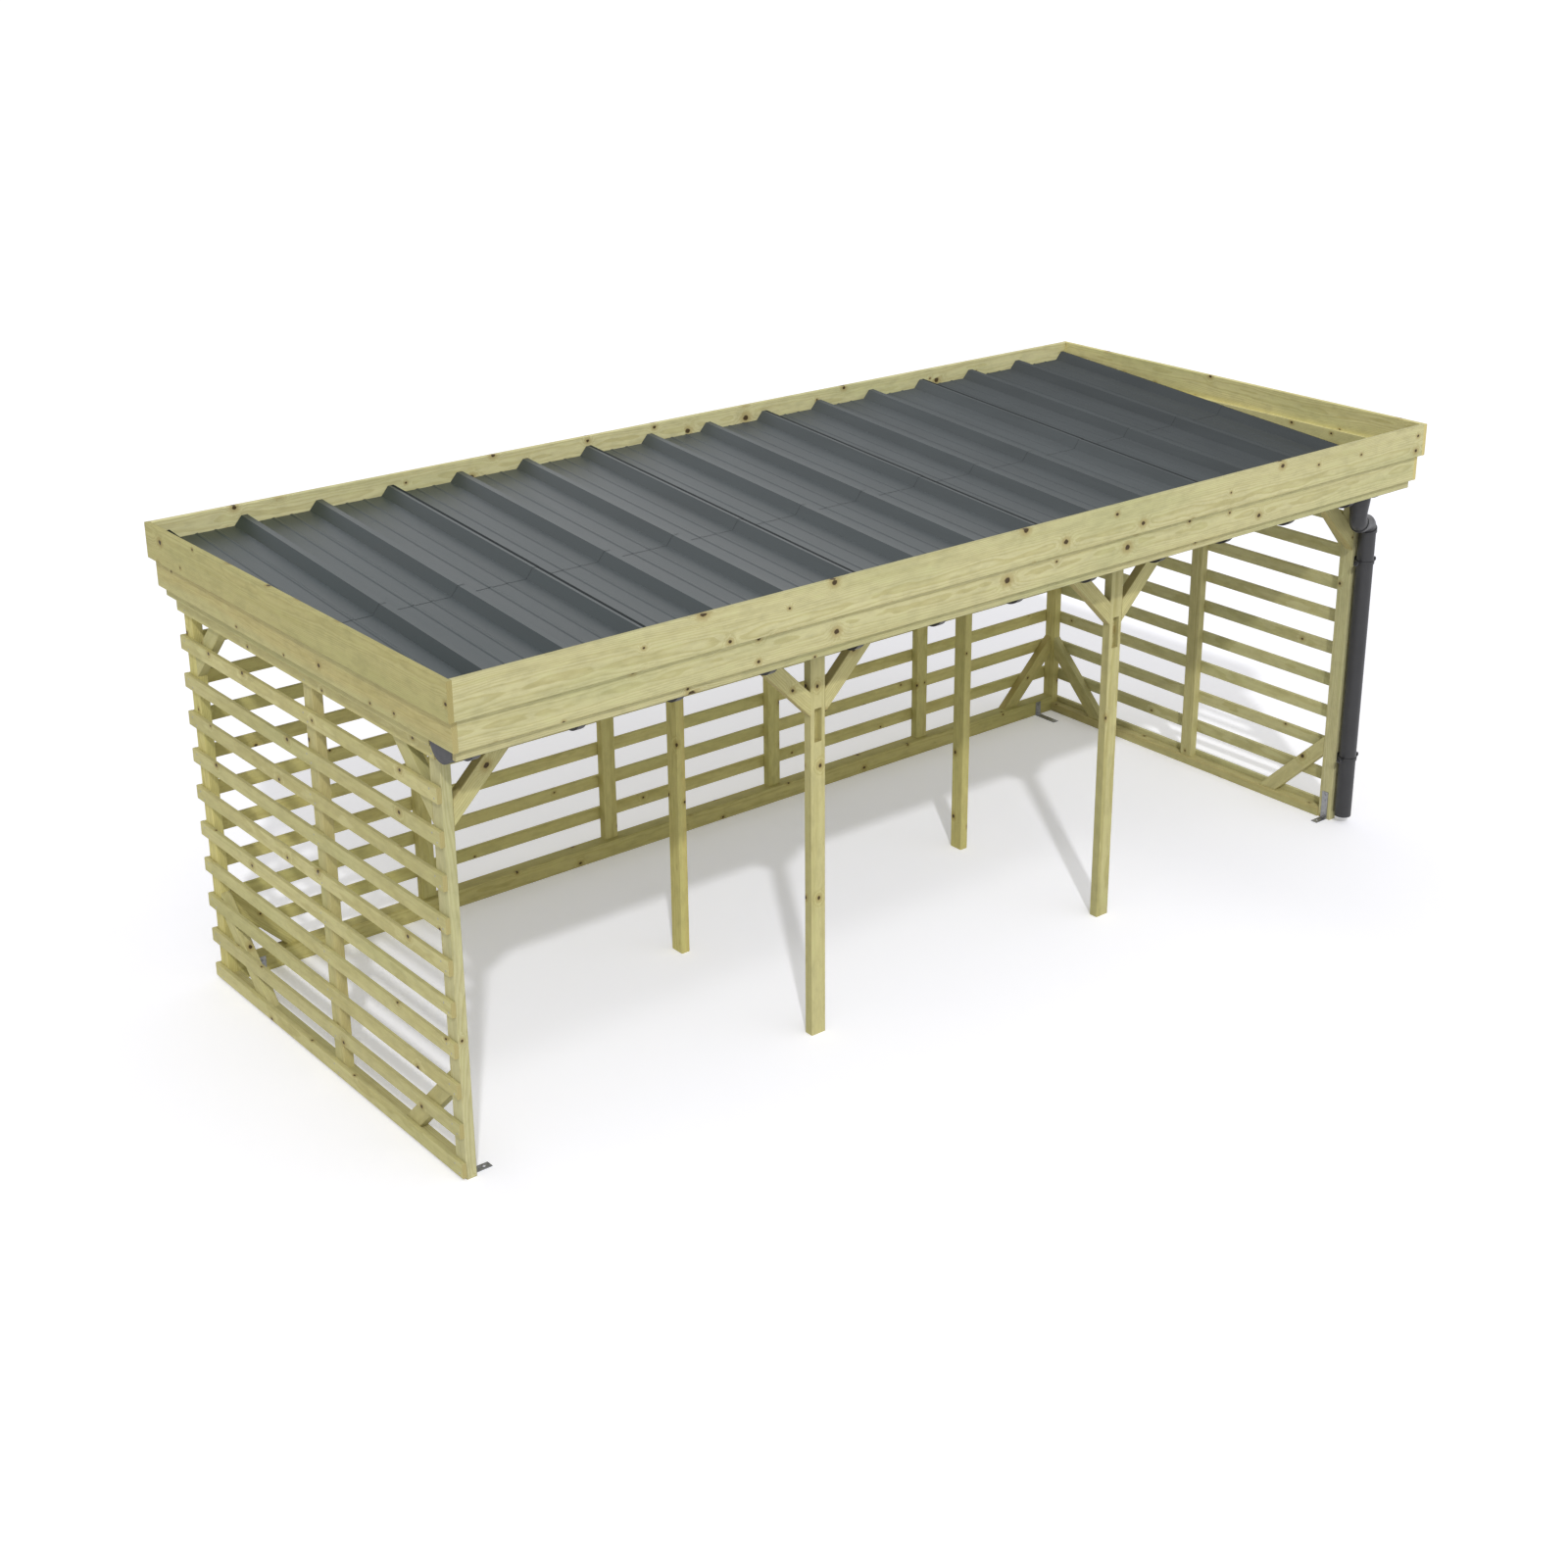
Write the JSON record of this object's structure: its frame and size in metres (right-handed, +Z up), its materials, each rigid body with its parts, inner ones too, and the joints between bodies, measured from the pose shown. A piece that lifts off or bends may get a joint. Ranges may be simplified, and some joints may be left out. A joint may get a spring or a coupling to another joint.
{
  "type": "firewood shelter",
  "caption": "Open-fronted slatted timber firewood shelter with a stepped board parapet, ribbed steel roof, gutter and downpipe.",
  "frame": {"origin": "on the floor, below the middle of the parapet's outline", "axes": "+X along the open front to its right end, where the downpipe is; +Y from the open front to the back wall; +Z up"},
  "size_m": [5.09, 2.275, 2.005],
  "materials": {
    "timber": "planed, pressure-treated softwood",
    "roof_steel": "satin grey coated steel",
    "gutter_steel": "satin anthracite coated steel",
    "zinc": "dull galvanised"
  },
  "bodies": {
    "root": {"corner_post_front_left": "timber", "corner_post_front_right": "timber", "corner_post_back_left": "timber", "corner_post_back_right": "timber", "front_posts": "timber", "middle_posts": "timber", "back_studs": "timber", "side_studs": "timber", "rail_left": "timber", "rail_right": "timber", "rail_back": "timber", "slats_left": "timber", "slats_right": "timber", "slats_back": "timber", "beam_front": "timber", "beam_middle": "timber", "beam_back": "timber", "side_plates": "timber", "side_rafters": "timber", "braces_front": "timber", "braces_left": "timber", "braces_right": "timber", "braces_back": "timber", "fascia_front_top": "timber", "fascia_front_middle": "timber", "fascia_front_low": "timber", "fascia_back_top": "timber", "fascia_back_middle": "timber", "fascia_back_low": "timber", "fascia_left_top": "timber", "fascia_left_middle": "timber", "fascia_left_low": "timber", "fascia_right_top": "timber", "fascia_right_middle": "timber", "fascia_right_low": "timber", "roof_sheet": "roof_steel", "gutter": "gutter_steel", "gutter_spout": "gutter_steel", "gutter_brackets": "gutter_steel", "outlet_elbow": "gutter_steel", "neck_pipe": "gutter_steel", "lower_elbow": "gutter_steel", "downpipe": "gutter_steel", "pipe_clamps": "gutter_steel", "anchor_brackets": "zinc"}
  },
  "joints": []
}
